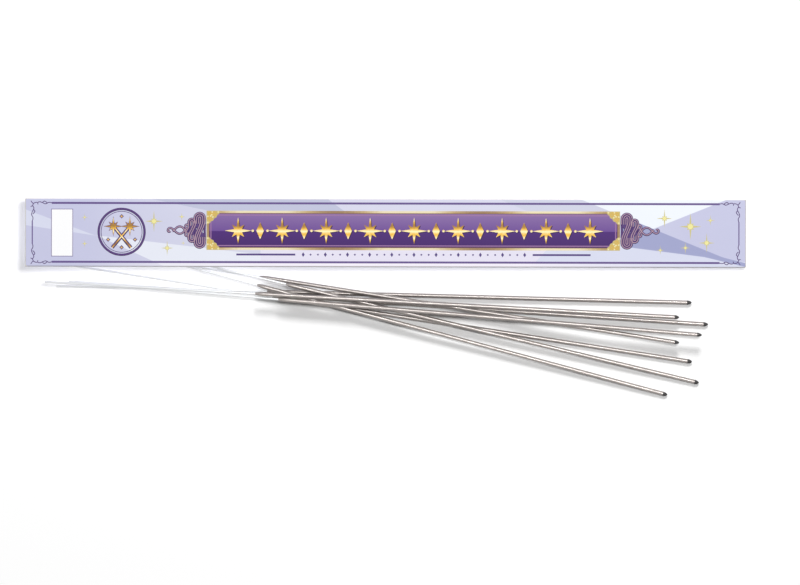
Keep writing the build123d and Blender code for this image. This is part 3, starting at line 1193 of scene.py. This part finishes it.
def roughen_coat(shape, start, seed):
    drift = Vector((seed * COAT_DRIFT, 0, 0))
    for vertex in shape.verts:
        spot = vertex.co.copy()
        radius = math.hypot(spot.y, spot.z)
        if radius < WIRE_RADIUS + DIP_EDGE / 2:
            continue
        lump = LUMP * (1 + noise.noise(spot * LUMP_SCALE + drift)) / 2
        grit = GRIT * (1 + noise.noise(spot * GRIT_SCALE + drift)) / 2
        vertex.co.yz = spot.yz * ((radius - lump - grit) / radius)
        # The dip edge wanders: the first few millimetres are pushed along the wire
        near_edge = max(0.0, 1 - (spot.x - start) / DIP_LENGTH)
        side = Vector((seed * EDGE_DRIFT, spot.y / radius, spot.z / radius))
        vertex.co.x += near_edge * EDGE_WANDER * (1 + noise.noise(side * WANDER_SCALE))


# %% Starter tip
TIP_STEPS = 14
TIP_NOSE = 0.36
TIP_TAPER = 1.8
TIP_ROUNDING = 9
TIP_GRIT = 0.05
TIP_GRIT_SCALE = 2.1
TIP_DRIFT = 11.0


def tip_profile():
    """Out of the blind hole, over the shoulder and round the nose."""
    length = TIP_END - COAT_END
    profile = [(wire_high.x, 0.0), (wire_high.x, WIRE_RADIUS), (COAT_END, WIRE_RADIUS)]
    for index in range(TIP_STEPS + 1):
        share = index / TIP_STEPS
        taper = 1 - (1 - TIP_NOSE) * share**TIP_TAPER
        radius = COAT_RADIUS * taper * math.sqrt(1 - share**TIP_ROUNDING)
        profile.append((COAT_END + length * share, radius))
    return profile


def roughen_tip(shape, seed):
    for vertex in shape.verts:
        radius = math.hypot(vertex.co.y, vertex.co.z)
        if vertex.co.x > COAT_END and radius > WIRE_RADIUS / 2:
            spot = vertex.co * TIP_GRIT_SCALE + Vector((seed * TIP_DRIFT, 0, 0))
            grit = TIP_GRIT * (1 + noise.noise(spot)) / 2
            vertex.co.yz *= (radius - grit) / radius


# %% [markdown]
# ## Steel, grey mixture, starter
# Wire shows fine scratches along its length from the die that drew it. The dried mixture is grey and
# gritty, and flecks of metal powder glint in it. The starter is dull black. Each finish reads the place
# on the sparkler that every point remembers.

# %% Finishes of a sparkler
SPARKLER_SPOT = "sparkler_spot"


def sparkler_spot(finish):
    return finish.node("Attribute", {"attribute_name": SPARKLER_SPOT}, output="Vector")


def drawn_steel():
    finish = Finish("drawn_steel")
    spot = sparkler_spot(finish)
    drawn = finish.node("Mapping", {}, {"Vector": spot, "Scale": (0.02, 5.0, 5.0)})
    scratch = finish.noise(drawn, 1.0, 4.0, 0.7)
    bloom = finish.noise(spot, 0.12, 2.0)
    colour = finish.mix(finish.clamp(scratch * 1.6 - 0.3), ink(222, 224, 226), ink(244, 245, 246))
    finish.surface(
        {
            "Base Color": finish.mix(finish.clamp(bloom * 1.5 - 0.5) * 0.35, colour, ink(226, 226, 225)),
            "Metallic": 0.5,
            "Roughness": 0.24 + scratch * 0.16,
            "Normal": finish.bump(scratch, 0.00001),
        }
    )
    return finish.material


def grey_mixture():
    finish = Finish("grey_mixture")
    spot = sparkler_spot(finish)
    grain = finish.noise(spot, 2.6, 5.0, 0.7)
    cloud = finish.noise(spot, 0.16, 2.0)
    cells = {"Vector": spot, "Scale": 2.2}
    fleck = finish.node("TexVoronoi", {"feature": "F1"}, cells, output="Distance") < 0.2
    tone = finish.clamp(grain * 1.5 - 0.25 + (cloud - 0.5) * 0.5)
    colour = finish.mix(tone, ink(122, 115, 112), ink(190, 183, 179))
    finish.surface(
        {
            "Base Color": finish.mix(fleck * 0.4, colour, ink(218, 214, 210)),
            "Metallic": 0.7 + fleck * 0.3,
            "Roughness": 0.28 - fleck * 0.08 + grain * 0.06,
            "Normal": finish.bump(grain, 0.00004),
        }
    )
    return finish.material


def black_starter():
    finish = Finish("black_starter")
    spot = sparkler_spot(finish)
    grain = finish.noise(spot, 3.0, 4.0, 0.7)
    finish.surface(
        {
            "Base Color": finish.mix(finish.clamp(grain * 2.0 - 0.6), ink(44, 43, 44), ink(84, 82, 82)),
            "Roughness": 0.6 + grain * 0.25,
            "Normal": finish.bump(grain, 0.00007),
        }
    )
    return finish.material


# %% Eight sparklers
SHARP_ANGLE = math.radians(50)


def remember_spot(shape):
    layer = shape.verts.layers.float_vector.new(SPARKLER_SPOT)
    for vertex in shape.verts:
        vertex[layer] = vertex.co


def sparkler_piece(number, part, shape, material):
    remember_spot(shape)
    name = f"sparkler_{number}_{part}"
    place = sparkler_place(number) @ Matrix.Scale(MM, 4)
    piece = finished(f"{name}_detail", shape, place, material, f"sparkler_{number}")
    piece.data.polygons.foreach_set("use_smooth", [True] * len(piece.data.polygons))
    piece.data.set_sharp_from_angle(angle=SHARP_ANGLE)
    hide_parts(name)
    return piece


coated = bpy.data.collections.new("coated_ends")
steel, mixture, starter = drawn_steel(), grey_mixture(), black_starter()
for number in SPARKLERS:
    sparkler_piece(number, "wire", spun(wire_profile()), steel)
    start = coat_start(number)
    coat = spun(coat_profile(start))
    roughen_coat(coat, start, number)
    coated.objects.link(sparkler_piece(number, "coating", coat, mixture))
    tip = spun(tip_profile())
    roughen_tip(tip, number)
    coated.objects.link(sparkler_piece(number, "tip", tip, starter))
# Only the coated ends block the low lamp
low_lamp.light_linking.blocker_collection = coated

# %% [markdown]
# ## Hand over
# The looks must not change the size of the set, so the box of the model as packed and the box of what
# is shown now are written side by side.

# %% The end
bpy.context.view_layer.update()
